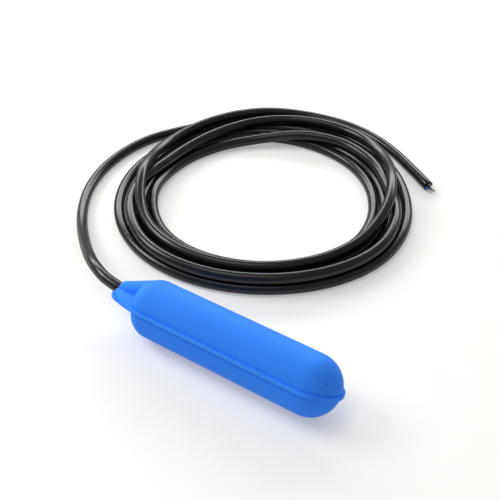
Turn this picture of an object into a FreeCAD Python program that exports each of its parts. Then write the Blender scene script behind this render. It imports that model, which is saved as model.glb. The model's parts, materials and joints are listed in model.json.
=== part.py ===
import FreeCAD, Part
import math
import os

import Sketcher

# A slim cable float switch: a two-part moulded float with a sealed switch case inside,
# a steel ball that rolls along a race and works a microswitch through a lever, and a
# three-core rubber cable that lies in a loose coil behind the float.
#
# Every float piece is modelled in the float's own frame: X runs along the float towards
# its nose, the seam plane is XY, and the upper shell is on the +Z side. The float lies on
# its belly, rolled about X, so each finished piece gets the same placement at the end.

Vector = FreeCAD.Vector

SIZES = (
    # name, value in millimetres or degrees, what it is
    ("overall_length", 174.5, "float from the neck end to the tip of the rim"),
    ("body_radius", 20.0, "outer radius of the moulded body"),
    ("shell_wall", 2.2, "wall of both shells"),
    ("roll_angle", 27.0, "how far the float lies rolled about its own axis"),
    ("rim_width", 1.6, "how far the seam rim stands proud of the body"),
    ("rim_half", 1.1, "thickness of the rim on each shell"),
    ("shoulder_setback", 19.5, "upper shell's end wall, back from the neck end"),
    ("shoulder_radius", 14.0, "rounding of the upper shell's end"),
    ("shoulder_inner_radius", 9.5, "rounding of the upper shell's end inside"),
    ("heel_setback", 20.5, "lower shell's end wall, back from the neck end"),
    ("heel_radius", 14.0, "rounding of the lower shell's end"),
    ("neck_half_width", 16.0, "arched neck at the cable mouth"),
    ("neck_height", 5.2, "arched neck at the cable mouth"),
    ("neck_root_half", 17.0, "arched neck where it meets the body"),
    ("neck_root_height", 6.0, "arched neck where it meets the body"),
    ("neck_root_depth", 5.0, "how far the neck runs into the body"),
    ("neck_inset", 1.4, "band of the ear plate left bare round the neck"),
    ("ear_root_setback", 29.9, "where the rim begins to narrow, from the neck end"),
    ("ear_waist_setback", 17.9, "where the rim becomes the ear plate"),
    ("ear_waist_half", 18.2, "half width of the ear plate at its root"),
    ("ear_side_setback", 12.4, "where the ear's rounded corner begins"),
    ("ear_side_half", 16.1, "half width of the ear plate at its corner"),
    ("ear_tip_setback", 1.7, "where the ear's rounded corner ends"),
    ("ear_tip_half", 9.2, "half width of the ear plate at its tip"),
    ("ear_end_half", 6.0, "half width of the flat neck end"),
    ("ear_corner_radius", 20.0, "rounding of the ear plate"),
    ("mouth_setback", 3.5, "cable mouth, back from the neck end"),
    ("mouth_slot", 0.9, "radial clearance of the cable where it crosses the ear plate"),
    ("sleeve_wall", 1.5, "wall of the cable sleeve under the neck"),
    ("boss_radius", 6.2, "cable boss at its mouth"),
    ("boss_rise", 2.4, "middle of the cable boss above the seam at its mouth"),
    ("boss_root_radius", 6.6, "cable boss where it runs into the body"),
    ("boss_root_setback", 29.2, "where the cable boss runs into the body, from the neck end"),
    ("boss_sink", 0.75, "boss below the body's top where it runs in"),
    ("boss_wall", 2.2, "wall of the hollow in the boss"),
    ("boss_hollow_setback", 12.0, "start of the hollow in the boss, from the neck end"),
    ("gate_radius", 0.7, "moulding gate mark near the nose"),
    ("gate_azimuth", -51.0, "gate mark, degrees from the top about the axis"),
    ("gate_latitude", 46.5, "gate mark, degrees from the shoulder of the nose"),
    ("tongue_width", 0.8, "locating tongue along the seam"),
    ("tongue_height", 1.0, "height of the tongue above the seam"),
    ("tongue_clearance", 0.08, "side clearance of the tongue in its groove"),
    ("cable_diameter", 8.4, "three-core rubber cable"),
    ("cable_rise", 2.0, "cable axis above the seam plane"),
    ("cable_clearance", 0.1, "radial clearance where the cable passes a bore"),
    ("sheath_inside", 10.9, "sheath that reaches into the case"),
    ("core_diameter", 2.4, "insulated core"),
    ("core_clearance", 0.05, "radial clearance of a core in its crimp"),
    ("case_standoff", 1.6, "gap between the sealed switch case and the shells"),
    ("case_wall", 1.6, "wall of the switch case"),
    ("case_end_gap", 0.5, "gap between the race plug and the case's closed end"),
    ("case_edge", 2.0, "rounding of the case's closed end"),
    ("case_clearance", 0.15, "radial clearance of the case in the cradle ribs"),
    ("rib_thickness", 2.4, "cradle ribs in the shells"),
    ("cradle_inset", 8.0, "outer cradle ribs, in from the ends of the case"),
    ("stop_overlap", 3.8, "how far the end-stop ribs reach over the case's ends"),
    ("stop_gap", 0.2, "axial clearance between the case and its stops"),
    ("cap_flange", 3.0, "flange of the case cap"),
    ("cap_spigot", 8.0, "length of the cap's spigot in the case"),
    ("cap_wall", 3.4, "wall of the spigot"),
    ("cap_clearance", 0.05, "radial clearance of the spigot"),
    ("seal_section", 2.0, "section of the cap's sealing ring"),
    ("seal_squeeze", 0.1, "how far the ring's groove is shallower than the ring"),
    ("hub_radius", 9.5, "gland hub on the cap"),
    ("hub_length", 11.0, "length of the gland hub"),
    ("gland_radius", 7.0, "gland seat in the hub"),
    ("gland_depth", 8.0, "depth of the gland seat"),
    ("gland_clearance", 0.05, "radial clearance of the gland pieces"),
    ("ring_thickness", 1.5, "gland pressure ring"),
    ("bush_radius", 7.5, "rubber bush on the cable behind the neck"),
    ("bush_length", 4.5, "length of the rubber bush"),
    ("clamp_length", 8.0, "length of the clamp along the cable"),
    ("clamp_span", 9.2, "clamp screws, out from the cable"),
    ("clamp_foot", 12.4, "half width of the clamp"),
    ("clamp_web", 1.8, "webs in the lower shell that the clamp sits on"),
    ("clamp_boss", 3.0, "screw bosses in the lower shell"),
    ("clamp_gap", 2.0, "gap between the clamp and the gland hub"),
    ("clamp_thickness", 2.2, "thickness of the clamp"),
    ("clamp_screw", 1.3, "radius of the clamp screws"),
    ("clamp_head_radius", 2.4, "screw head"),
    ("clamp_head_height", 1.6, "screw head"),
    ("clamp_screw_length", 9.0, "screw below the clamp's feet"),
    ("screw_clearance", 0.15, "radial clearance of screws in plain holes"),
    ("ball_diameter", 14.0, "steel ball"),
    ("ball_clearance", 0.3, "radial clearance of the ball in its race"),
    ("ball_travel", 16.0, "how far the ball rolls"),
    ("race_wall", 1.5, "wall of the ball race"),
    ("race_setback", 4.4, "open end of the race, from the switch's front face"),
    ("carrier_clearance", 0.2, "radial clearance of the carrier in the case"),
    ("carrier_disc", 2.0, "disc at the mouth of the race"),
    ("fin_thickness", 1.6, "fins along the race"),
    ("plug_flange", 1.7, "flange of the race plug"),
    ("plug_depth", 1.8, "spigot of the race plug"),
    ("switch_setback", 40.0, "back face of the microswitch, from the case's open end"),
    ("switch_depth", 10.6, "microswitch, along X"),
    ("switch_width", 6.6, "microswitch, along Y"),
    ("switch_wall", 1.2, "walls of the microswitch"),
    ("switch_cover", 0.8, "thickness of the microswitch cover"),
    ("switch_back_wall", 3.6, "back wall, which holds screws and terminals"),
    ("switch_side_gap", 0.1, "microswitch between the carrier's cheeks"),
    ("cheek_thickness", 2.2, "carrier cheeks"),
    ("cheek_margin", 0.166, "cheeks inside the carrier's reach"),
    ("cheek_over", 0.6, "cheeks above the microswitch"),
    ("cheek_under", 1.6, "cheeks below the lever pivot"),
    ("hole_setback", 1.9, "switch screws, from the back face"),
    ("switch_screw", 1.0, "radius of the switch screws"),
    ("switch_head_radius", 1.9, "switch screw head and nut"),
    ("switch_head_height", 1.4, "switch screw head and nut"),
    ("pivot_below", 1.5, "lever pivot, below the switch body"),
    ("pivot_pin", 0.75, "radius of the lever pin"),
    ("pivot_clearance", 0.05, "running clearance of the lever on its pin"),
    ("lever_thickness", 0.8, "switch lever"),
    ("lever_width", 4.0, "switch lever"),
    ("lever_eye", 1.4, "eye of the lever"),
    ("lever_length", 19.5, "free end of the lever above its pivot"),
    ("lever_swing", 6.1, "degrees from released to pressed"),
    ("plunger_radius", 0.8, "switch plunger"),
    ("plunger_collar", 1.5, "collar that keeps the plunger in"),
    ("plunger_above", 9.5, "plunger above the lever pivot"),
    ("plunger_travel", 1.0, "stroke of the plunger"),
    ("plunger_clearance", 0.05, "radial clearance of the plunger"),
    ("touch_gap", 0.1, "gap left where moving pieces meet"),
    ("blade_thickness", 0.3, "contact blade"),
    ("blade_width", 2.4, "contact blade"),
    ("blade_back", 0.9, "free play between the plunger and the blade"),
    ("blade_foot", 0.1, "blade pivot below the common terminal"),
    ("blade_over", 0.2, "free end of the blade above the closed terminal"),
    ("contact_drop", 0.8, "contacts below the closed terminal"),
    ("contact_radius", 0.9, "contact buttons"),
    ("contact_height", 0.5, "contact buttons"),
    ("contact_gap", 0.6, "open contact gap"),
    ("closed_gap", 0.05, "resting gap at the closed contact"),
    ("tab_share", 0.14, "width of the terminal tabs, of the switch's height"),
    ("tab_thickness", 0.5, "terminal tabs"),
    ("tab_length", 6.4, "terminal tabs behind the switch"),
    ("tab_gap", 0.2, "outer terminal tabs to the switch's inner wall"),
    ("strip_clearance", 0.05, "clearance of strip metal in its slots"),
    ("crimp_wall", 0.4, "receptacle on each tab"),
    ("crimp_length", 5.6, "receptacle body"),
    ("barrel_length", 4.4, "barrel behind the receptacle"),
    ("barrel_wall", 0.35, "barrel of the receptacle"),
    ("sleeve_gap", 0.12, "insulating sleeve over the receptacle"),
    ("insulator_wall", 0.45, "insulating sleeve"),
    ("coil_x", -84.85, "middle of the cable coil along the part's X"),
    ("coil_y", 169.9, "middle of the cable coil along the part's Y"),
    ("coil_inner", 84.0, "inner radius of the coil"),
    ("coil_outer", 127.0, "outer radius of the coil"),
    ("coil_height", 18.0, "height of the coil"),
    ("coil_edge", 5.0, "bevel of the coil's edges"),
    ("free_core_length", 8.0, "stripped cores at the free end"),
    ("free_core_splay", 1.75, "core offset from the cable's axis"),
    ("ferrule_length", 4.0, "tinned sleeve at the tip of each free core"),
    ("ferrule_wall", 0.25, "thickness of the tinned sleeve"),
)

# Centre line of the cable from the neck to the coil, in the part's frame. The first point
# is the middle of the sleeve's mouth, which cable_mouth works out from the sizes.
LEAD_POINTS = (
    (-99.45, 2.3, 22.8),
    (-109.25, 6.0, 23.1),
    (-120.35, 12.8, 21.3),
    (-133.95, 23.3, 17.0),
    (-151.45, 36.8, 11.2),
    (-172.55, 54.0, 6.2),
    (-192.35, 75.0, 4.3),
    (-208.65, 101.0, 4.3),
    (-218.45, 131.0, 4.3),
    (-220.65, 162.0, 4.3),
    (-215.65, 189.5, 4.3),
    (-204.85, 209.6, 4.3),
)

# Centre line of the cable from the coil to its free end, in the part's frame.
TAIL_POINTS = (
    (-169.25, 254.5, 9.2),
    (-155.75, 278.8, 6.8),
    (-134.25, 296.0, 4.8),
    (-107.25, 305.5, 4.3),
    (-79.25, 307.0, 4.3),
    (-51.25, 300.6, 4.3),
    (-25.25, 288.0, 4.3),
    (-3.25, 273.6, 4.3),
    (18.25, 259.2, 4.3),
)


class Size:
    """A length that knows its value and the sheet expression that gives it."""

    def __init__(self, value, text):
        self.value = float(value)
        self.text = text

    def __add__(self, other):
        other = size_of(other)
        return Size(self.value + other.value, "(%s + %s)" % (self.text, other.text))

    def __radd__(self, other):
        return size_of(other) + self

    def __sub__(self, other):
        other = size_of(other)
        return Size(self.value - other.value, "(%s - %s)" % (self.text, other.text))

    def __rsub__(self, other):
        return size_of(other) - self

    def __mul__(self, other):
        other = size_of(other)
        return Size(self.value * other.value, "(%s * %s)" % (self.text, other.text))

    def __rmul__(self, other):
        return size_of(other) * self

    def __truediv__(self, other):
        other = size_of(other)
        return Size(self.value / other.value, "(%s / %s)" % (self.text, other.text))

    def __neg__(self):
        return Size(-self.value, "(-%s)" % self.text)

    def root(self):
        return Size(math.sqrt(self.value), "sqrt(%s)" % self.text)

    def cosine(self):
        return Size(math.cos(math.radians(self.value)), "cos(%s * 1deg)" % self.text)

    def sine(self):
        return Size(math.sin(math.radians(self.value)), "sin(%s * 1deg)" % self.text)


def size_of(value):
    if isinstance(value, Size):
        return value
    return Size(value, "(%r)" % float(value))


class Sheet:
    """Gives each cell of the size sheet as an attribute of the same name."""


def make_sheet(doc):
    cells = doc.addObject("Spreadsheet::Sheet", "Sizes")
    sheet = Sheet()
    for row, (name, value, note) in enumerate(SIZES, start=1):
        cells.set("A%d" % row, name)
        cells.set("B%d" % row, str(value))
        cells.setAlias("B%d" % row, name)
        cells.set("C%d" % row, note)
        setattr(sheet, name, Size(value, "Sizes." + name))
    return sheet


doc = FreeCAD.newDocument("FloatSwitch")
mm = make_sheet(doc)
parts = []


def bind(item, **sizes):
    """Tie properties of an object to expressions; an underscore pair stands for a dot."""
    for name, size in sizes.items():
        item.setExpression(name.replace("__", "."), size_of(size).text)
    return item


def finish(item, label):
    """Name a float piece and lay it down with the rest of the rolled float."""
    item.Label = label
    item.Placement = FreeCAD.Placement(Vector(0, 0, 0), FreeCAD.Rotation(Vector(1, 0, 0), 0))
    item.Placement.Rotation = FreeCAD.Rotation(Vector(1, 0, 0), -mm.roll_angle.value)
    bind(item, Placement__Base__z=mm.body_radius, Placement__Rotation__Angle=-mm.roll_angle)
    parts.append(item)
    return item


def keep(item, label):
    """Name a piece that is already modelled in the part's frame."""
    item.Label = label
    parts.append(item)
    return item


# Sketches


def origin_plane(body, role):
    for feature in body.Origin.OriginFeatures:
        if feature.Role == role:
            return feature
    raise ValueError(role)


def new_body(name):
    return doc.addObject("PartDesign::Body", name)


def new_sketch(body, name, role="XY_Plane", offset=0.0):
    sketch = body.newObject("Sketcher::SketchObject", name)
    sketch.AttachmentSupport = [(origin_plane(body, role), "")]
    sketch.MapMode = "FlatFace"
    bind(sketch, AttachmentOffset__Base__z=offset)
    return sketch


def pin_point(sketch, geometry, position, place):
    """Fix a sketch point at a pair of sizes."""
    for kind, size in zip(("DistanceX", "DistanceY"), place):
        size = size_of(size)
        rule = Sketcher.Constraint(kind, -1, 1, geometry, position, size.value)
        index = sketch.addConstraint(rule)
        sketch.setExpression("Constraints[%d]" % index, size.text)


def arc_between(start, end, radius, turn):
    """Arc from start to end; turn is 1 for counterclockwise and -1 for clockwise."""
    chord = end - start
    half = chord.Length / 2
    rise = math.sqrt(max(radius * radius - half * half, 0.0))
    side = Vector(-chord.y, chord.x, 0).normalize()
    centre = (start + end) / 2 + side * rise * turn
    first, last = (start, end) if turn > 0 else (end, start)
    begin = math.atan2(first.y - centre.y, first.x - centre.x)
    finish_angle = math.atan2(last.y - centre.y, last.x - centre.x)
    circle = Part.Circle(centre, Vector(0, 0, 1), radius)
    return Part.ArcOfCircle(circle, begin, finish_angle)


def draw_outline(sketch, start, steps):
    """Closed outline: each step is an end point, or an end point, a radius and a turn."""
    base = sketch.GeometryCount
    places = [start] + [step[0] for step in steps[:-1]]
    spots = [Vector(size_of(x).value, size_of(y).value, 0) for x, y in places]
    ends = []
    for index, step in enumerate(steps):
        here = spots[index]
        there = spots[(index + 1) % len(spots)]
        if len(step) == 1:
            sketch.addGeometry(Part.LineSegment(here, there), False)
            ends.append((1, 2))
        else:
            _, radius, turn = step
            sketch.addGeometry(arc_between(here, there, size_of(radius).value, turn), False)
            ends.append((1, 2) if turn > 0 else (2, 1))
    count = len(steps)
    for index, step in enumerate(steps):
        following = (index + 1) % count
        joint = (base + index, ends[index][1], base + following, ends[following][0])
        sketch.addConstraint(Sketcher.Constraint("Coincident", *joint))
        pin_point(sketch, base + index, ends[index][0], places[index])
        if len(step) == 3:
            radius = size_of(step[1])
            rule = sketch.addConstraint(Sketcher.Constraint("Radius", base + index, radius.value))
            sketch.setExpression("Constraints[%d]" % rule, radius.text)
    return sketch


def draw_polygon(sketch, corners):
    steps = [(corner,) for corner in corners[1:]] + [(corners[0],)]
    return draw_outline(sketch, corners[0], steps)


def draw_box(sketch, low, high):
    corners = [low, (high[0], low[1]), high, (low[0], high[1])]
    return draw_polygon(sketch, corners)


def draw_circle(sketch, centre, radius):
    radius = size_of(radius)
    spot = Vector(size_of(centre[0]).value, size_of(centre[1]).value, 0)
    index = sketch.addGeometry(Part.Circle(spot, Vector(0, 0, 1), radius.value), False)
    rule = sketch.addConstraint(Sketcher.Constraint("Radius", index, radius.value))
    sketch.setExpression("Constraints[%d]" % rule, radius.text)
    pin_point(sketch, index, 3, centre)
    return sketch


def draw_half_round(sketch, radius, rise, up):
    """The part of a round of this radius, centred rise above the line, on one side of it."""
    half = (radius * radius - rise * rise).root()
    turn = 1 if up else -1
    reach = half.value
    sketch.addGeometry(long_arc(reach, rise.value, radius.value, up), False)
    sketch.addGeometry(Part.LineSegment(Vector(-reach, 0, 0), Vector(reach, 0, 0)), False)
    first, last = (1, 2) if turn > 0 else (2, 1)
    sketch.addConstraint(Sketcher.Constraint("Coincident", 0, last, 1, 1))
    sketch.addConstraint(Sketcher.Constraint("Coincident", 0, first, 1, 2))
    pin_point(sketch, 0, 3, (0.0, rise))
    index = sketch.addConstraint(Sketcher.Constraint("Radius", 0, radius.value))
    sketch.setExpression("Constraints[%d]" % index, radius.text)
    sketch.addConstraint(Sketcher.Constraint("PointOnObject", 1, 1, -1))
    sketch.addConstraint(Sketcher.Constraint("PointOnObject", 1, 2, -1))
    return sketch


def long_arc(reach, rise, radius, up):
    low = math.atan2(-rise, reach)
    circle = Part.Circle(Vector(0, rise, 0), Vector(0, 0, 1), radius)
    if up:
        return Part.ArcOfCircle(circle, low, math.pi - low)
    return Part.ArcOfCircle(circle, -math.pi - low, low)


# Solid features


def pad(body, sketch, length, reverse=False, middle=False):
    feature = body.newObject("PartDesign::Pad", sketch.Name + "Pad")
    feature.Profile = sketch
    feature.Reversed = reverse
    if middle:
        feature.SideType = "Symmetric"
    bind(feature, Length=length)
    body.Tip = feature
    return feature


def pocket(body, sketch, depth=None, reverse=False, middle=False):
    feature = body.newObject("PartDesign::Pocket", sketch.Name + "Cut")
    feature.Profile = sketch
    feature.Reversed = reverse
    if depth is None:
        feature.Type = "ThroughAll"
    else:
        bind(feature, Length=depth)
    if middle:
        feature.SideType = "Symmetric"
    body.Tip = feature
    return feature


def turn(body, sketch, angle=360.0, reverse=False, cut=False):
    """Revolve or groove a sketch about its own horizontal axis."""
    kind = "PartDesign::Groove" if cut else "PartDesign::Revolution"
    feature = body.newObject(kind, sketch.Name + "Turn")
    feature.Profile = sketch
    feature.ReferenceAxis = (sketch, ["H_Axis"])
    feature.Angle = angle
    feature.Reversed = reverse
    body.Tip = feature
    return feature


def loft(body, first, second, cut=False):
    kind = "PartDesign::SubtractiveLoft" if cut else "PartDesign::AdditiveLoft"
    feature = body.newObject(kind, first.Name + "Loft")
    feature.Profile = first
    feature.Sections = [second]
    feature.Ruled = True
    body.Tip = feature
    return feature


# Part primitives in the float's frame


def rod(name, radius, length, at, along="x"):
    """Cylinder from a point along an axis of the float's frame."""
    item = doc.addObject("Part::Cylinder", name)
    axis = {"x": Vector(0, 1, 0), "y": Vector(-1, 0, 0), "z": Vector(0, 0, 1)}[along]
    angle = 0 if along == "z" else 90
    item.Placement = FreeCAD.Placement(Vector(0, 0, 0), FreeCAD.Rotation(axis, angle))
    bind(item, Radius=radius, Height=length)
    return move(item, at)


def block(name, low, high):
    """Box between two corners in the float's frame."""
    item = doc.addObject("Part::Box", name)
    bind(item, Length=high[0] - low[0], Width=high[1] - low[1], Height=high[2] - low[2])
    return move(item, low)


def move(item, at):
    bind(item, Placement__Base__x=at[0], Placement__Base__y=at[1], Placement__Base__z=at[2])
    return item


def cut(name, base, tool):
    item = doc.addObject("Part::Cut", name)
    item.Base = base
    item.Tool = tool
    return item


def fuse(name, *items):
    item = doc.addObject("Part::MultiFuse", name)
    item.Shapes = list(items)
    return item


def group(name, *items):
    """Separate solids that share a node."""
    item = doc.addObject("Part::Compound", name)
    item.Links = list(items)
    return item


# Places along the float that several pieces share

tail_x = -mm.overall_length / 2
nose_x = mm.overall_length / 2 - mm.rim_width - mm.body_radius
mouth_x = tail_x + mm.mouth_setback
shoulder_x = tail_x + mm.shoulder_setback
heel_x = tail_x + mm.heel_setback
heel_front = heel_x + mm.heel_radius
cavity_radius = mm.body_radius - mm.shell_wall
cavity_rear = heel_x + mm.shell_wall
rim_radius = mm.body_radius + mm.rim_width
cable_radius = mm.cable_diameter / 2
cable_bore = cable_radius + mm.cable_clearance
sleeve_radius = cable_bore + mm.sleeve_wall
clamp_low = cavity_rear + mm.bush_length + mm.stop_gap * 2.0
clamp_x = clamp_low + mm.clamp_length / 2
clamp_high = clamp_low + mm.clamp_length
hub_end = clamp_high + mm.clamp_gap
cap_front = hub_end + mm.hub_length
case_rear = cap_front + mm.cap_flange
case_radius = cavity_radius - mm.case_standoff
case_bore = case_radius - mm.case_wall
cradle_radius = case_radius + mm.case_clearance
switch_rear = case_rear + mm.switch_setback
switch_face = switch_rear + mm.switch_depth
plunger_out = switch_face + mm.plunger_travel + mm.touch_gap
lever_back = switch_face + mm.touch_gap * 2.0
lever_front = lever_back + mm.lever_thickness
ball_pressed = lever_front + mm.touch_gap + mm.ball_diameter / 2
ball_rest = ball_pressed + mm.ball_travel
race_bore = mm.ball_diameter / 2 + mm.ball_clearance
race_radius = race_bore + mm.race_wall
race_mouth = switch_face + mm.race_setback
race_end = ball_rest + mm.ball_diameter / 2 + mm.touch_gap + mm.plug_depth
case_front = race_end + mm.plug_flange + mm.case_end_gap + mm.case_wall


# Shells


def draw_plan(sketch):
    """Outline of the seam rim and the ear plate, seen along the seam's normal."""
    root = (tail_x + mm.ear_root_setback, rim_radius)
    waist = (tail_x + mm.ear_waist_setback, mm.ear_waist_half)
    side = (tail_x + mm.ear_side_setback, mm.ear_side_half)
    tip = (tail_x + mm.ear_tip_setback, mm.ear_tip_half)
    end = (tail_x, mm.ear_end_half)
    chain = [root, waist, side, tip, end]
    mirror = [(x, -y) for x, y in reversed(chain)]
    radius = mm.ear_corner_radius
    steps = [
        (waist,), (side,), (tip, radius, 1), (end,),
        (mirror[0],), (mirror[1],), (mirror[2], radius, 1), (mirror[3],), (mirror[4],),
        ((nose_x, -rim_radius),),
        ((nose_x + rim_radius, 0.0), rim_radius, 1),
        ((nose_x, rim_radius), rim_radius, 1),
        (root,),
    ]
    return draw_outline(sketch, root, steps)


def trim_neck(body):
    """Cut what stands outside the neck's outline, a band in from the ear plate's edge."""
    inset = mm.neck_inset
    side = (tail_x + mm.ear_side_setback, mm.ear_side_half - inset)
    tip = (tail_x + mm.ear_tip_setback + inset, mm.ear_tip_half - inset)
    out_x = tail_x - mm.rim_width
    far = mm.body_radius
    for mark, sign in (("Far", 1), ("Near", -1)):
        sketch = new_sketch(body, "NeckTrim" + mark)
        steps = [
            ((tip[0], tip[1] * sign), mm.ear_corner_radius - inset, sign),
            ((out_x, tip[1] * sign),), ((out_x, far * sign),), ((side[0], far * sign),),
            ((side[0], side[1] * sign),),
        ]
        draw_outline(sketch, (side[0], side[1] * sign), steps)
        pocket(body, sketch, mm.body_radius, reverse=True)


def draw_arch(sketch, radius, rise):
    """Two upright sides with a half round on top, standing on the seam plane."""
    steps = [
        ((radius, rise),), ((0.0, rise + radius), radius, 1), ((-radius, rise), radius, 1),
        ((-radius, 0.0),), ((radius, 0.0),),
    ]
    return draw_outline(sketch, (radius, 0.0), steps)


def nose_profile(sketch, rear, radius, heel=None):
    """Half outline of the capsule shape: nose, straight side and an optional round heel."""
    tip = (nose_x + radius, 0.0)
    top = (nose_x, radius)
    if heel is None:
        steps = [(top, radius, 1), ((rear, radius),), ((rear, 0.0),), (tip,)]
    else:
        steps = [
            (top, radius, 1), ((rear + heel, radius),),
            ((rear, radius - heel), heel, 1), ((rear, 0.0),), (tip,),
        ]
    return draw_outline(sketch, tip, steps)


def cradle_ribs(body, name, reverse):
    """Ribs that hold the switch case, and the two ribs that stop it end to end."""
    sketch = new_sketch(body, name)
    thick = mm.rib_thickness
    outer = cavity_radius + mm.shell_wall / 2
    middle = (case_rear + case_front - thick) / 2
    cradles = (case_rear + mm.cradle_inset, middle, case_front - mm.cradle_inset - thick)
    for rear in cradles:
        draw_box(sketch, (rear, cradle_radius), (rear + thick, outer))
    front_stop = case_front + mm.stop_gap
    rear_stop = cap_front - mm.stop_gap - thick
    for rear in (front_stop, rear_stop):
        draw_box(sketch, (rear, case_radius - mm.stop_overlap), (rear + thick, outer))
    turn(body, sketch, 180.0, reverse)


def seam_band(sketch, inner, outer):
    """U-shaped band round the nose and along both straight sides."""
    rear = heel_front
    steps = [
        ((nose_x, -outer),),
        ((nose_x + outer, 0.0), outer, 1), ((nose_x, outer), outer, 1),
        ((rear, outer),), ((rear, inner),), ((nose_x, inner),),
        ((nose_x + inner, 0.0), inner, -1), ((nose_x, -inner), inner, -1),
        ((rear, -inner),), ((rear, -outer),),
    ]
    return draw_outline(sketch, (rear, -outer), steps)


def tongue_radii(clearance):
    middle = cavity_radius + mm.shell_wall / 2
    half = mm.tongue_width / 2 + clearance
    return middle - half, middle + half


def cable_boss(body):
    """Ramp over the cable, from its mouth up to the top of the body, hollow inside."""
    root_x = tail_x + mm.boss_root_setback
    root_rise = mm.body_radius - mm.boss_root_radius - mm.boss_sink
    mouth = new_sketch(body, "BossMouth", "YZ_Plane", mouth_x)
    draw_arch(mouth, mm.boss_radius, mm.boss_rise)
    root = new_sketch(body, "BossRoot", "YZ_Plane", root_x)
    draw_arch(root, mm.boss_root_radius, root_rise)
    loft(body, mouth, root)


def boss_hollow(body):
    """Room in the boss that opens into the float, a wall in from its outside."""
    start = tail_x + mm.boss_hollow_setback
    end = cavity_rear + mm.boss_wall
    length = mm.boss_root_setback - mm.mouth_setback
    rise = mm.body_radius - mm.boss_root_radius - mm.boss_sink - mm.boss_rise
    lean = mm.boss_root_radius - mm.boss_radius
    sections = []
    for mark, place in (("Low", start), ("High", end)):
        share = (place - mouth_x) / length
        radius = mm.boss_radius + lean * share - mm.boss_wall
        sketch = new_sketch(body, "BossHollow" + mark, "YZ_Plane", place)
        sections.append(draw_arch(sketch, radius, mm.boss_rise + rise * share))
    loft(body, *sections, cut=True)


def mouth_slot(body, up):
    """Open slot for the cable through the ear plate, in front of its mouth."""
    name = "Upper" if up else "Lower"
    slot = new_sketch(body, name + "MouthSlot", "YZ_Plane", tail_x - mm.rim_width)
    draw_half_round(slot, cable_radius + mm.mouth_slot, mm.cable_rise, up)
    pocket(body, slot, mm.mouth_setback + mm.rim_width, reverse=True)


def shell_cavity(body, name, inner, below):
    room = nose_profile(new_sketch(body, name), cavity_rear, cavity_radius, inner)
    turn(body, room, 180.0, reverse=below, cut=True)


def shell_upper():
    body = new_body("ShellUpper")
    form = nose_profile(new_sketch(body, "UpperForm"), shoulder_x, mm.body_radius,
                        mm.shoulder_radius)
    turn(body, form, 180.0)
    neck = new_sketch(body, "UpperNeck", "YZ_Plane", mouth_x)
    draw_segment(neck, mm.neck_half_width, mm.neck_height)
    root = new_sketch(body, "UpperNeckRoot", "YZ_Plane", shoulder_x + mm.neck_root_depth)
    draw_segment(root, mm.neck_root_half, mm.neck_root_height)
    loft(body, neck, root)
    trim_neck(body)
    pad(body, draw_plan(new_sketch(body, "UpperRim")), mm.rim_half)
    mouth_slot(body, True)
    cable_boss(body)

    shell_cavity(body, "UpperCavity", mm.shoulder_inner_radius, False)
    boss_hollow(body)
    bore = new_sketch(body, "UpperBore", "YZ_Plane", mouth_x)
    draw_half_round(bore, cable_bore, mm.cable_rise, True)
    pocket(body, bore, mm.heel_setback + mm.shell_wall, reverse=True)

    cradle_ribs(body, "UpperRibs", False)
    groove = new_sketch(body, "UpperTongue")
    seam_band(groove, *tongue_radii(size_of(0.0)))
    pad(body, groove, mm.tongue_height, reverse=True)
    gate_mark(body)
    return finish(body, "shell_upper")


def draw_segment(sketch, half, height):
    """Arch of this half width and height that stands on the seam plane."""
    radius = (half * half + height * height) / (height * 2.0)
    steps = [((-half, 0.0), radius, 1), ((half, 0.0),)]
    return draw_outline(sketch, (half, 0.0), steps)


def gate_mark(body):
    """Small round recess that the moulding gate leaves on the nose."""
    mark = body.newObject("PartDesign::SubtractiveSphere", "GateMark")
    radial = mm.body_radius * mm.gate_latitude.cosine()
    bind(mark, Radius=mm.gate_radius, Placement__Base__x=nose_x + mm.body_radius
         * mm.gate_latitude.sine(), Placement__Base__y=radial * mm.gate_azimuth.sine(),
         Placement__Base__z=radial * mm.gate_azimuth.cosine())
    body.Tip = mark
    return mark


def shell_lower():
    body = new_body("ShellLower")
    form = nose_profile(new_sketch(body, "LowerForm"), heel_x, mm.body_radius, mm.heel_radius)
    turn(body, form, 180.0, reverse=True)
    pad(body, draw_plan(new_sketch(body, "LowerRim")), mm.rim_half, reverse=True)

    mouth_slot(body, False)
    sleeve = new_sketch(body, "LowerSleeve", "YZ_Plane", mouth_x)
    draw_half_round(sleeve, sleeve_radius, mm.cable_rise, False)
    pad(body, sleeve, mm.heel_setback - mm.mouth_setback + mm.shell_wall)

    shell_cavity(body, "LowerCavity", mm.heel_radius - mm.shell_wall, True)
    bore = new_sketch(body, "LowerBore", "YZ_Plane", mouth_x)
    draw_half_round(bore, cable_bore, mm.cable_rise, False)
    pocket(body, bore, mm.heel_setback + mm.shell_wall, reverse=True)

    cradle_ribs(body, "LowerRibs", True)
    clamp_seat(body)
    groove = new_sketch(body, "LowerGroove")
    seam_band(groove, *tongue_radii(mm.tongue_clearance))
    pocket(body, groove, mm.tongue_height + mm.tongue_clearance)
    return finish(body, "shell_lower")


def heel_reach(x):
    """Radius of the middle of the lower shell's wall at a place along its rounded end."""
    rise = mm.heel_radius - (x - heel_x)
    outer = mm.body_radius - mm.heel_radius + (mm.heel_radius * mm.heel_radius
                                               - rise * rise).root()
    return outer - mm.shell_wall / 2


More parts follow.
